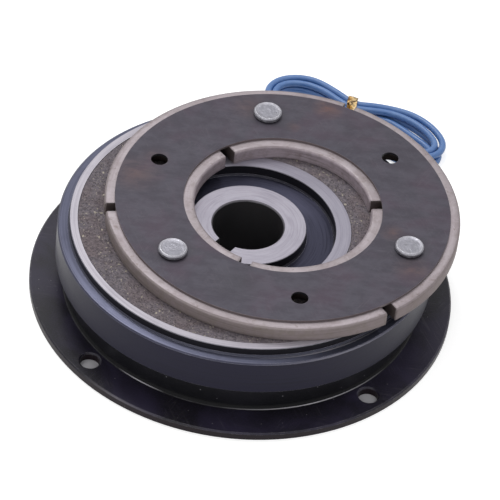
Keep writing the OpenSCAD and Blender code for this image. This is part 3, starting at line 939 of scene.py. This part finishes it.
def cubic_path(points: np.ndarray, step: float) -> np.ndarray:
    """A natural cubic through the points, its second derivative continuous, by distance between points.

    On each stretch of length h, with m the second derivatives at its ends and a, b the distances to
    them: (m0 a^3 + m1 b^3) / 6h + (p0 / h - m0 h / 6) a + (p1 / h - m1 h / 6) b.

    Args:
        points: Array of shape (n, 3).
        step: Distance between the path's points.

    Returns:
        Array of shape (k, 3) of points along the path.
    """
    reach = distance_along(points)
    span = np.diff(reach)
    count = len(points)
    system, right = np.eye(count), np.zeros((count, 3))
    row = np.arange(1, count - 1)
    system[row, row - 1], system[row, row], system[row, row + 1] = span[:-1], 2 * (span[:-1] + span[1:]), span[1:]
    right[1:-1] = 6 * np.diff(np.diff(points, axis=0) / span[:, None], axis=0)
    bend = np.linalg.solve(system, right)
    at = np.linspace(0.0, reach[-1], int(reach[-1] / step) + 1)
    k = np.clip(np.searchsorted(reach, at, side="right") - 1, 0, count - 2)
    a, b, h = (reach[k + 1] - at)[:, None], (at - reach[k])[:, None], span[k][:, None]
    cubes = (bend[k] * a**3 + bend[k + 1] * b**3) / (6 * h)
    return cubes + (points[k] / h - bend[k] * h / 6) * a + (points[k + 1] / h - bend[k + 1] * h / 6) * b


def tube(
    name: str, path: np.ndarray, radii: np.ndarray, sides: int, ripple: float = 0.0, lay: float = 0.0
) -> bpy.types.Mesh:
    """A round tube along a path: p + r (cos t side + sin t rise), side level and rise square to the path.

    Args:
        name: The mesh's name.
        path: Array of shape (n, 3), in metres.
        radii: The tube's radius at each point, in metres.
        sides: Points round the tube.
        ripple: Share by which the radius swells over each of the twisted strands.
        lay: Turns of the strands per metre.

    Returns:
        The closed tube, its map being the distance along it in tenths of a metre and the turn round it.
    """
    strands, per_metre = 7, 10
    along = np.gradient(path, axis=0)
    along /= np.linalg.norm(along, axis=1)[:, None]
    side = np.cross(along, [0.0, 0.0, 1.0])
    side /= np.linalg.norm(side, axis=1)[:, None]
    rise = np.cross(side, along)
    reach = distance_along(path)[:, None]
    turn = np.linspace(0, 2 * np.pi, sides, endpoint=False)[None, :]
    swell = 1 + ripple * np.abs(np.cos(strands / 2 * (turn - 2 * np.pi * lay * reach)))
    ring = np.cos(turn)[..., None] * side[:, None] + np.sin(turn)[..., None] * rise[:, None]
    points = path[:, None] + (radii[:, None] * swell)[..., None] * ring
    return grid_mesh(name, points, (reach * per_metre, turn / (2 * np.pi)))


# ---- Objects ----


def new_object(name: str, data: bpy.types.ID) -> bpy.types.Object:
    """Makes an object of the data and puts it in the scene."""
    made = bpy.data.objects.new(name, data)
    bpy.context.scene.collection.objects.link(made)
    return made


def add_piece(
    mesh: bpy.types.Mesh, finish: Finish, body: str, replaces: tuple[str, ...] = ()
) -> bpy.types.Object:
    """Adds a piece at the origin, dresses it and lets it ride on a body.

    Args:
        mesh: The piece's mesh, in place.
        finish: Its finish.
        body: The body that it rides on.
        replaces: The CAD nodes that it stands for.

    Returns:
        The piece.
    """
    piece = new_object(mesh.name, mesh)
    mesh.materials.append(finish.material())
    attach(piece, body)
    if replaces:
        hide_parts(*replaces)
    LOG.info("%s: %d faces, on %s", piece.name, len(mesh.polygons), body)
    return piece


def dress_nodes(finishes: dict[str, Finish]) -> None:
    """Gives CAD nodes their finishes, in the slots that they have.

    Args:
        finishes: The finish for each node, by its name.
    """
    for name, finish in finishes.items():
        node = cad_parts[name]
        if not node.material_slots:
            node.data.materials.append(finish.material())
        for slot in node.material_slots:
            slot.material = finish.material()
        LOG.info("%s: %s", name, finish.name)


# ---- Sub-assemblies ----


@dataclass
class LeadSet:
    """Two blue leads, each two turns of one flat hank behind the flange, under a gold twist tie.

    Sizes are in millimetres, the strands' lay in turns per metre. Points are seen from the axis along the
    exit: across to the left, then outwards.
    """

    exit_angle: float = 73.0
    exit_height: float = 8.6
    collar_face: float = 63.9
    rim: float = 75.0
    diameter: float = 2.5
    floor_height: float = 1.3
    upper: float = 3.75
    lower: float = 1.25
    neck_lift: float = 0.5
    neck: Pair = (-2.0, 105.8)
    neck_reach: Pair = (3.0, 9.0)
    step: float = 0.5
    sides: int = 20
    end_taper: float = 0.86
    bare: float = 5.5
    strand_radii: tuple[float, ...] = (0.75, 0.6, 0.3)
    strand_sides: int = 42
    strand_swell: float = 0.12
    strand_lay: float = 160.0
    left_route: tuple = (
        (-7, 1.5, 1), (-3, 1.5, 0.95), (1, 1.5, 0.75), (5, 1.7, 0.48), (9, 2.7, 0.2), (12, 4.7, 0.05),
        (14.5, 8.3, 0), (15.5, 13, 0), (16.4, 17.5, 0),
    )
    right_route: tuple = (
        (-7, -1.5, 1), (-3, -1.5, 0.95), (1, -1.5, 0.75), (5, -1.4, 0.48), (9, -0.6, 0.2), (13, 1.6, 0.05),
        (16, 4.8, 0), (18, 9.2, 0), (18.6, 12.5, 0),
    )
    left_turns: tuple = (
        (23.3, 94.4), (28.2, 98.4), (29.8, 104.3), (27.0, 109.9), (21.5, 113.1), (15.5, 113.9), (8.5, 112.7),
        (2.6, 110.6), (-2, 109.55), (-7, 110.4), (-14, 111.9), (-20, 111.2), (-26, 109.7), (-31.8, 107.0),
        (-36.3, 103.9), (-39.4, 99.5), (-39.3, 94.6), (-35.8, 91.2), (-30, 90.1), (-22, 91.5), (-13, 96.2),
        (-6.8, 100.6), (-2, 102.05), (3.5, 100.9), (9.5, 98.0),
        (16, 96.2), (21.9, 97.1), (26.0, 100.1), (27.1, 104.4), (24.8, 108.5), (20.0, 110.8), (14.5, 111.2),
        (8, 109.9), (2.4, 107.9), (-2, 107.05), (-7, 107.7), (-13.5, 109.1), (-20, 108.1), (-26.2, 105.7),
        (-32.2, 103.1), (-35.9, 100.6), (-37.0, 97.5), (-35.6, 94.3), (-32.0, 92.85), (-28, 93.1),
        (-21.5, 94.8), (-14, 98.6), (-7.6, 103.1), (-2, 104.55), (4, 103.5), (9.5, 101.2), (14.8, 100.3),
    )
    right_turns: tuple = (
        (17.0, 93.6), (22.8, 94.3), (28.3, 98.3), (30.05, 104.3), (27.6, 110.3), (22.5, 114.0), (16.5, 115.3),
        (9.7, 114.0), (3.3, 111.3), (-2, 109.55), (-7.5, 111.2), (-14.8, 113.4), (-22.7, 113.9), (-30, 111.9),
        (-35.7, 108.2), (-39.3, 103.6), (-39.6, 98.3), (-36, 93.9), (-30, 92.2), (-22, 92.6), (-13, 96.4),
        (-6.8, 100.6), (-2, 102.05), (3.5, 100.9), (10.5, 97.6),
        (16.8, 96.2), (22.3, 97.2), (26.6, 100.5), (27.3, 105.0), (24.6, 109.2), (19.8, 111.5), (14.5, 111.9),
        (8.5, 110.6), (3, 108.1), (-2, 107.05), (-7.5, 108.4), (-14.5, 110.8), (-22, 110.8), (-28.3, 109.0),
        (-33.2, 106.1), (-36.1, 103.1), (-37.0, 99.6), (-35.3, 96.4), (-31.7, 94.95), (-27, 94.8),
        (-21.5, 95.4), (-14, 99.0), (-7.6, 103.1), (-2, 104.55), (4, 105.0), (9.5, 105.2), (15, 105.1),
    )
    climb: float = 2.9
    landing: tuple[float, ...] = (3.75, 2.0, 1.3)
    skin: Finish = VinylSkin("lead_vinyl_blue", srgb(76, 119, 178), 0.37)
    tip: Finish = PlainSkin(
        "tinned_strands", srgb(200, 200, 204), 0.3, second=srgb(150, 148, 146), grain=0.0004, metal=0.9
    )

    def world(self, points: np.ndarray) -> np.ndarray:
        """Turns points (left, outwards, height) in millimetres by the exit angle into metres."""
        c, s = math.cos(math.radians(self.exit_angle)), math.sin(math.radians(self.exit_angle))
        return MM * points @ np.array([[-s, c, 0.0], [c, s, 0.0], [0.0, 0.0, 1.0]])

    def route(self, entry: tuple, turns: tuple, level: float, crossing: bool) -> np.ndarray:
        """The lead's centreline.

        The entry falls from the exit to the floor; the turns lie level and rise by the neck's lift
        near the tie, by a smooth step of the distance from it.

        Args:
            entry: Points (outwards from the rim, left, share of the fall left).
            turns: Points (left, outwards) of the two turns.
            level: Height of the turns.
            crossing: Whether the lead climbs onto the other one and comes down at its end.

        Returns:
            Array of points in metres.
        """
        fall = np.array(entry, float)
        height = self.floor_height + (self.exit_height - self.floor_height) * fall[:, 2]
        first = np.array([[fall[0, 1], self.collar_face, self.exit_height]])
        start = np.stack([fall[:, 1], self.rim + fall[:, 0], height], -1)
        flat = np.array(turns, float)
        full, none = self.neck_reach
        near = np.clip((none - np.abs(flat[:, 0] - self.neck[0])) / (none - full), 0, 1)
        lifted = level + self.neck_lift * near * near * (3 - 2 * near)
        if crossing:
            lifted[0] = self.climb
            lifted[-3:] = self.landing
        turned = np.column_stack([flat, lifted])
        path = cubic_path(self.world(np.concatenate([first, start, turned])), self.step * MM)
        path[:, 2] = np.maximum(path[:, 2], self.diameter / 2 * MM)
        return path

    def lead(self, name: str, path: np.ndarray, nodes: tuple[str, ...]) -> None:
        """Makes one lead and its bare tinned end.

        Args:
            name: The lead's name.
            path: Its centreline.
            nodes: The CAD nodes that it replaces.
        """
        radii = np.full(len(path), self.diameter / 2 * MM)
        radii[-1] *= self.end_taper
        piece = add_piece(tube(name, path, radii, self.sides), self.skin, "stator", nodes)
        ahead = path[-1] - path[-2]
        ahead = ahead / np.linalg.norm(ahead)
        line = path[-1] + np.linspace(-0.5, self.bare, 25)[:, None] * MM * ahead
        width = np.full(len(line), self.strand_radii[0] * MM)
        width[-2:] = np.array(self.strand_radii[1:]) * MM
        mesh = tube(name + "_tip", line, width, self.strand_sides, self.strand_swell, self.strand_lay)
        strands = add_piece(mesh, self.tip, "stator")

    def build(self) -> None:
        """Makes both leads, the hank's turns being part of them, and the tie."""
        left = self.route(self.left_route, self.left_turns, self.lower, False)
        right = self.route(self.right_route, self.right_turns, self.upper, True)
        self.lead("lead_left", left, ("lead_wire_left",))
        self.lead("lead_right", right, ("lead_wire_right", "wire_hank"))
        TwistTie(self).build()


@dataclass
class TwistTie:
    """A gold twist tie: a flat strip with a wire rib round the hank's neck, its ends twisted together.

    Sizes are in millimetres, angles in degrees.
    """

    leads: LeadSet
    half_wide: float = 6.2
    half_high: float = 2.95
    middle: float = 3.3
    width: float = 3.8
    lean: float = 0.24
    thick: float = 0.3
    rib: float = 0.16
    rib_width: float = 0.45
    ripple: float = 0.10
    wave: float = 0.12
    corner: float = 4.0
    tail: float = 4.8
    tail_foot: Pair = (-2.5, 6.4)
    tail_lean: float = 20.0
    tail_width: float = 1.5
    tail_thick: float = 0.84
    twists: float = 1.75
    film: Finish = GoldFoil("tie_gold_film", srgb(182, 132, 50), 0.32)

    def band(self) -> bpy.types.Mesh:
        """The strip round the neck.

        Its line is a squared ellipse, x = a sign(cos t) |cos t|^(2/n); its section is a thin rounded
        strip with a rib of the wire in its middle and a slow ripple along it.

        Returns:
            The closed band's mesh.
        """
        t = np.linspace(0, 2 * np.pi, 96, endpoint=False)
        circle = np.stack([np.cos(t), np.sin(t)], -1)
        line = np.array([self.half_wide, self.half_high]) * np.sign(circle) * np.abs(circle) ** (2 / self.corner)
        smooth = sum(np.roll(line, k, axis=0) for k in (-2, -1, 0, 1, 2)) / 5
        ahead = np.roll(smooth, -1, axis=0) - np.roll(smooth, 1, axis=0)
        outward = np.stack([ahead[:, 1], -ahead[:, 0]], -1)
        outward /= np.linalg.norm(outward, axis=1)[:, None]
        a = np.linspace(0, 2 * np.pi, 28, endpoint=False)
        across = self.width / 2 * np.sign(np.cos(a)) * np.abs(np.cos(a)) ** 0.6
        rib = self.rib * np.exp(-((across / self.rib_width) ** 2))
        lift = np.where(np.sin(a) > 0, self.thick / 2 + rib, -self.thick / 2) * np.minimum(1, np.abs(np.sin(a)) * 3)
        ripple = self.ripple * np.sin(9 * t)[:, None] * (across / self.width)[None, :]
        out = smooth[:, None] + outward[:, None] * (lift[None, :, None] + ripple[..., None])
        left, away = self.leads.neck
        sideways = left + across[None, :] + self.wave * np.sin(5 * t + 1)[:, None] + self.lean * out[..., 0]
        grid = np.stack([sideways, away + out[..., 0], self.middle + out[..., 1]], -1)
        return grid_mesh("tie_band", self.leads.world(grid), (t[:, None], a[None, :]), capped=False)

    def twisted_tail(self) -> bpy.types.Mesh:
        """The twisted ends: a flat oval section turned evenly along a straight line that leans inwards.

        Returns:
            The closed tail's mesh.
        """
        s = np.linspace(0, 1, 60)[:, None]
        a = np.linspace(0, 2 * np.pi, 20, endpoint=False)[None, :]
        turn = 2 * np.pi * self.twists * s
        taper = np.minimum(1, np.minimum(s + 0.5, 6 * (1.02 - s)))
        p, q = self.tail_width / 2 * np.cos(a) * taper, self.tail_thick / 2 * np.sin(a) * taper
        u, v = p * np.cos(turn) - q * np.sin(turn), p * np.sin(turn) + q * np.cos(turn)
        lean = math.radians(self.tail_lean)
        ahead = np.array([0.0, -math.sin(lean), math.cos(lean)])
        first, second = np.array([1.0, 0.0, 0.0]), np.array([0.0, math.cos(lean), math.sin(lean)])
        left, away = self.leads.neck
        foot = np.array([left, away + self.tail_foot[0], self.tail_foot[1]])
        grid = foot + (self.tail * s)[..., None] * ahead + u[..., None] * first + v[..., None] * second
        return grid_mesh("tie_tail", self.leads.world(grid), (s, a))

    def build(self) -> None:
        """Makes the band and its tail."""
        add_piece(self.band(), self.film, "stator", ("twist_tie",))
        add_piece(self.twisted_tail(), self.film, "stator")


@dataclass
class FieldUnit:
    """The stationary half: flange, yoke and what the yoke holds."""

    coat: Finish = BlackCoat(
        "flange_black_coat", srgb(20, 18, 25), 0.38, patch=srgb(51, 46, 68), specular=0.28, browned=0.9, rim=0.0750,
        # painted highlight on the flange's rim at this spot
        painted_glints=((-0.0373, -0.0646, 0.018, 1.6),),
    )
    yoke: Finish = BlackCoat(
        # foot: painted shade on the fillet and a painted highlight line at this radius, at the spots below; rubbed
        # colours the line and the edge wear
        "yoke_black_coat", srgb(16, 16, 20), 0.36, patch=srgb(31, 30, 36), foot=0.0632, rubbed=srgb(196, 193, 201),
        painted_glints=((-0.0300, -0.0550, 0.010, 1.1), (0.0290, -0.0557, 0.034, 1.0)),
    )
    rubber: Finish = PlainSkin("grommet_rubber", srgb(24, 24, 26), 0.6, srgb(40, 40, 42), specular=0.3)
    nylon: Finish = PlainSkin("bobbin_nylon", srgb(224, 218, 200), 0.45, srgb(206, 198, 178))
    enamel: Finish = PlainSkin("winding_enamel", srgb(168, 92, 48), 0.3, srgb(120, 58, 30), 0.0003, 0.0001, metal=0.6)
    tape: Finish = PlainSkin("coil_tape_amber", srgb(190, 150, 84), 0.35, srgb(160, 120, 60), 0.002)
    sleeve: Finish = PlainSkin("sleeve_red", srgb(190, 84, 72), 0.7, srgb(164, 68, 58), 0.0005, 0.0001)
    joint: Finish = PlainSkin("soldered_joint", srgb(196, 198, 202), 0.3, srgb(150, 152, 156), metal=0.9)
    resin: Finish = PlainSkin("casting_resin_dark", srgb(34, 32, 34), 0.3, srgb(52, 48, 46), 0.003)

    def dress(self) -> None:
        """Dresses the flange, the yoke, the grommet and the coil's parts."""
        dress_nodes({"mounting_flange": self.coat, "field_yoke": self.yoke, "lead_grommet": self.rubber})
        dress_nodes({"coil_bobbin": self.nylon, "coil_winding": self.enamel, "coil_tape": self.tape})
        dress_nodes({"splice_sleeves": self.sleeve, "splice_joints": self.joint, "channel_resin": self.resin})


@dataclass
class RotorUnit:
    """The turning half: rotor with its pole rings and friction lining."""

    steel: Finish = RotorSteel(
        "rotor_ground_steel", srgb(174, 170, 181), 0.31, side=srgb(24, 23, 28), stain=srgb(136, 131, 144),
        bright=srgb(196, 193, 204), stains=0.2, pitch=0.0004, lowest=0.0305,
    )
    lining: Finish = FrictionCompound("lining_compound", srgb(104, 98, 106), 0.85)

    def dress(self) -> None:
        """Dresses the rotor and its lining."""
        dress_nodes({"rotor": self.steel, "friction_lining": self.lining})


@dataclass
class ArmatureUnit:
    """The armature lying on the rotor: ground plate, tempered spring plate and three rivets. Sizes are in metres."""

    turn: float = 101.2
    rivet_circle: float = 0.0954
    head_radius: float = 0.005
    # reach of the dark rings round the rivet feet, painted shadow with grime
    foot_reach: float = 0.0085
    smear: tuple[float, float, float, float] = (-0.0003, -0.0371, 0.011, 0.45)
    plate: Finish = GroundSteel(
        "armature_ground_steel", srgb(148, 140, 143), 0.5, side=srgb(126, 116, 113), stain=srgb(136, 124, 128),
        bright=srgb(186, 178, 184), stains=0.35, pitch=0.0005, centre=ARMATURE_CENTRE,
    )
    spring: Finish = TemperedSpring(
        "spring_tempered_steel", srgb(57, 53, 63), 0.48,
        stains=(
            (0.0234, 0.0600, 0.0065, 0.55), (0.0116, 0.0477, 0.0035, 0.3), (-0.0416, 0.0126, 0.011, 0.28),
            (-0.0355, 0.0223, 0.006, 0.25), (0.0501, -0.0021, 0.005, 0.35), (0.0583, -0.0198, 0.008, 0.3),
            (-0.0046, 0.0558, 0.008, 0.25),
        ),
    )
    rivet: Finish = ZincPlate("rivet_zinc", srgb(138, 137, 145), 0.38)

    def at_rivets(self, reach: float) -> Spots:
        """Round spots on the rivets, which stand a third of a turn apart round the plate's centre.

        Args:
            reach: The spots' reach.

        Returns:
            The three spots.
        """
        angles = np.radians(self.turn + 120.0 * np.arange(3))
        x, y = (c + self.rivet_circle / 2 * f(angles) for c, f in zip(ARMATURE_CENTRE, (np.cos, np.sin)))
        return tuple((float(a), float(b), reach, 1.0) for a, b in zip(x, y))

    def dress(self) -> None:
        """Dresses the plate, the spring with dark rings under the heads, painted shadow with grime, and one smear, and
        the rivets.
        """
        spring = replace(self.spring, shadow_rings_and_smear=self.at_rivets(self.foot_reach) + (self.smear,))
        rivet = replace(self.rivet, heads=self.at_rivets(self.head_radius))
        dress_nodes({"armature_plate": self.plate, "spring_plate": spring, "armature_rivets": rivet})


@dataclass
class Studio:
    """Camera at the photograph's angle, soft lamps, white world and a pale floor. Sizes are in metres."""

    focal_pixels: float = 3827.9
    frame_pixels: float = 500.0
    sensor: float = 36.0
    clip: Pair = (0.05, 20.0)
    place: Point = (0.00174, -0.99442, 0.92627)
    elevation: float = 42.37
    roll: float = 7.06
    target: Point = (0.0, 0.0, 0.02)
    lamps: tuple[tuple[str, Point, float, float], ...] = (
        ("key", (-0.42, 0.73, 1.5), 0.5, 9.0),
        ("top", (0.3, 0.2, 1.5), 1.1, 3.5),
        ("fill", (-0.45, -1.42, 0.7), 0.8, 5.0),
    )
    world_light: float = 0.55
    white: Colour = (1.0, 1.0, 1.0, 1.0)
    floor_half: float = 3.0
    floor_glow: float = 0.6
    floor_tone: Colour = (0.7, 0.7, 0.7, 1.0)
    # a disc under the flange with no glow and a greyer tone: painted shadow
    under: float = 0.0735
    under_border: float = 0.003
    shadow_disc_tone: Colour = (0.58, 0.57, 0.6, 1.0)

    def camera(self) -> None:
        """Places the camera: its right and up are the level ones, turned by the roll about its line of sight."""
        rise, roll = math.radians(self.elevation), math.radians(self.roll)
        level, up = Vector((1, 0, 0)), Vector((0, math.sin(rise), math.cos(rise)))
        right = math.cos(roll) * level + math.sin(roll) * up
        top = math.cos(roll) * up - math.sin(roll) * level
        data = bpy.data.cameras.new("photo_camera")
        data.sensor_width = self.sensor
        data.lens = self.focal_pixels * self.sensor / self.frame_pixels
        data.clip_start, data.clip_end = self.clip
        camera = new_object("photo_camera", data)
        turn = Matrix((right, top, right.cross(top))).transposed().to_4x4()
        camera.matrix_world = Matrix.Translation(self.place) @ turn
        bpy.context.scene.camera = camera

    def light(self) -> None:
        """Adds square soft lamps that look at the object: a key from behind on the left, a top light and a fill."""
        for name, place, size, power in self.lamps:
            data = bpy.data.lights.new(name, "AREA")
            data.size, data.energy = size, power
            lamp = new_object(name, data)
            lamp.location = place
            lamp.rotation_euler = (Vector(self.target) - Vector(place)).to_track_quat("-Z", "Y").to_euler()

    @staticmethod
    def emptied(owner: bpy.types.World | bpy.types.Material) -> tuple[NodeSheet, Socket]:
        """Empties a world or material and finds the rays that look at it.

        Args:
            owner: The world or material.

        Returns:
            Its sheet, and a mask of the camera's rays and the mirrored and refracted ones.
        """
        owner.use_nodes = True
        owner.node_tree.nodes.clear()
        sheet = NodeSheet(owner.node_tree)
        path = sheet.add("LightPath").outputs
        seen = sheet.most(path["Is Camera Ray"], path["Is Glossy Ray"])
        return sheet, sheet.most(seen, path["Is Transmission Ray"])

    def surroundings(self) -> None:
        """A world that is white where it is seen or mirrored, and grey-white as a source of light."""
        world = bpy.data.worlds.new("studio")
        bpy.context.scene.world = world
        sheet, seen = self.emptied(world)
        strength = sheet.between(seen, 0.0, 1.0, self.world_light, 1.0)
        light = sheet.add("Background", {"Color": self.white, "Strength": strength})
        sheet.add("OutputWorld", {"Surface": light.outputs[0]})

    def floor(self) -> None:
        """A pale floor whose own glow, for seen and mirrored rays, lifts it to white and leaves the shadow; a disc
        under the flange gets no glow and a greyer tone, a painted shadow.
        """
        mesh = bpy.data.meshes.new("floor")
        half = self.floor_half
        mesh.from_pydata([(-half, -half, 0), (half, -half, 0), (half, half, 0), (-half, half, 0)], [], [(0, 1, 2, 3)])
        material = bpy.data.materials.new("floor_white")
        sheet, seen = self.emptied(material)
        place = sheet.add("TexCoord").outputs["Object"]
        # painted shadow: no glow and a greyer tone under the flange
        disc = {"Inner": -1.0, "Outer": self.under, "Soft": self.under_border}
        under = EFFECTS.place(sheet, Effect.RING, Vector=place, **disc).outputs[0]
        strength = sheet.times(sheet.times(seen, sheet.less(1.0, under)), self.floor_glow)
        glow = sheet.add("Emission", {"Color": self.white, "Strength": strength})
        paint = sheet.add("BsdfDiffuse", {"Color": sheet.blend(under, self.floor_tone, self.shadow_disc_tone)})
        both = sheet.add("AddShader", {0: paint.outputs[0], 1: glow.outputs[0]})
        sheet.add("OutputMaterial", {"Surface": both.outputs[0]})
        mesh.materials.append(material)
        new_object("floor", mesh)

    def build(self) -> None:
        """Sets the view and makes camera, lamps, world and floor."""
        bpy.context.scene.view_settings.view_transform = "Standard"
        self.camera()
        self.light()
        self.surroundings()
        self.floor()


def main() -> None:
    """Builds the studio and the unit, part by part."""
    logging.basicConfig(level=logging.INFO, format="%(name)s: %(message)s")
    Studio().build()
    LeadSet().build()
    FieldUnit().dress()
    RotorUnit().dress()
    ArmatureUnit().dress()


if __name__ == "__main__":
    main()
